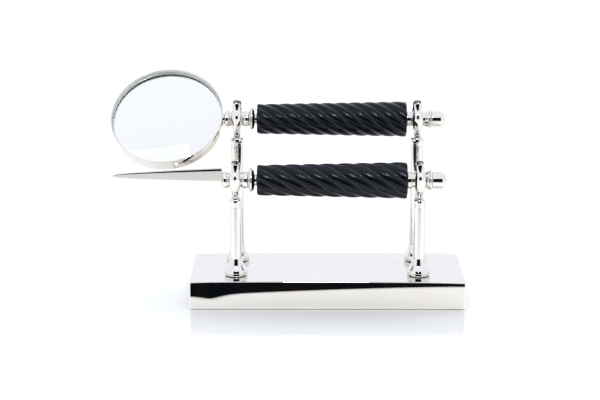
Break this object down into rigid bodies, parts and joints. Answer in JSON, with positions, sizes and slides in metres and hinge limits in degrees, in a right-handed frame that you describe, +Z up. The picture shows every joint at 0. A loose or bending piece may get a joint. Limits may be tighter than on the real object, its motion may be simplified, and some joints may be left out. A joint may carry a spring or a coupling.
{
  "type": "magnifying glass and letter opener desk stand",
  "caption": "Polished metal desk stand with upright forks that hold a magnifying glass and a letter opener, both with rope-carved dark grips.",
  "frame": {"origin": "centre of the base's underside", "axes": "+X along the tools from the ring and blade to the domed end nuts, -Y towards the side where the short posts and the letter opener stand, +Z up"},
  "size_m": [0.3117, 0.1109, 0.1933],
  "materials": {
    "nickel": "mirror-polished nickel plate, slightly warm",
    "blade_nickel": "hand-polished nickel plate with faint lengthwise lines",
    "carved_grip": "satin-polished dark horn with fine lengthwise grain",
    "lens_glass": "clear polished glass, faint green at the edge",
    "felt": "dark wool felt",
    "hardboard": "brown hardboard",
    "steel": "plain zinc-plated steel"
  },
  "bodies": {
    "stand": {"base_casting": "nickel", "base_board": "hardboard", "base_felt": "felt", "foot_front_left": "nickel", "foot_front_right": "nickel", "foot_rear_left": "nickel", "foot_rear_right": "nickel", "post_front_left": "nickel", "post_front_right": "nickel", "post_rear_left": "nickel", "post_rear_right": "nickel", "collar_front_left": "nickel", "collar_front_right": "nickel", "collar_rear_left": "nickel", "collar_rear_right": "nickel", "fork_front_left": "nickel", "fork_front_right": "nickel", "fork_rear_left": "nickel", "fork_rear_right": "nickel", "post_screw_front_left": "steel", "post_screw_front_right": "steel", "post_screw_rear_left": "steel", "post_screw_rear_right": "steel", "post_washer_front_left": "steel", "post_washer_front_right": "steel", "post_washer_rear_left": "steel", "post_washer_rear_right": "steel"},
    "magnifier_rod": {"magnifier_tang": "steel"},
    "magnifier": {"bezel_ring": "nickel", "magnifier_lens": "lens_glass", "lens_retainer": "nickel", "magnifier_neck": "nickel", "magnifier_flange": "nickel", "magnifier_grip": "carved_grip", "magnifier_butt_journal": "nickel", "magnifier_end_disc": "nickel", "magnifier_end_nut": "nickel"},
    "opener_rod": {"opener_tang": "steel"},
    "opener": {"opener_blade": "blade_nickel", "opener_neck": "nickel", "opener_flange": "nickel", "opener_grip": "carved_grip", "opener_butt_journal": "nickel", "opener_end_disc": "nickel", "opener_end_nut": "nickel"}
  },
  "joints": [
    {"name": "magnifier_lift", "type": "slide", "parent": "stand", "child": "magnifier_rod", "axis": [0, 0, 1], "range_m": [0, 0.045]},
    {"name": "magnifier_turn", "type": "hinge", "parent": "magnifier_rod", "child": "magnifier", "pos_m": [0, 0.0235, 0.1545], "axis": [1, 0, 0], "continuous": true},
    {"name": "opener_lift", "type": "slide", "parent": "stand", "child": "opener_rod", "axis": [0, 0, 1], "range_m": [0, 0.045]},
    {"name": "opener_turn", "type": "hinge", "parent": "opener_rod", "child": "opener", "pos_m": [0, -0.0235, 0.11], "axis": [1, 0, 0], "continuous": true}
  ]
}
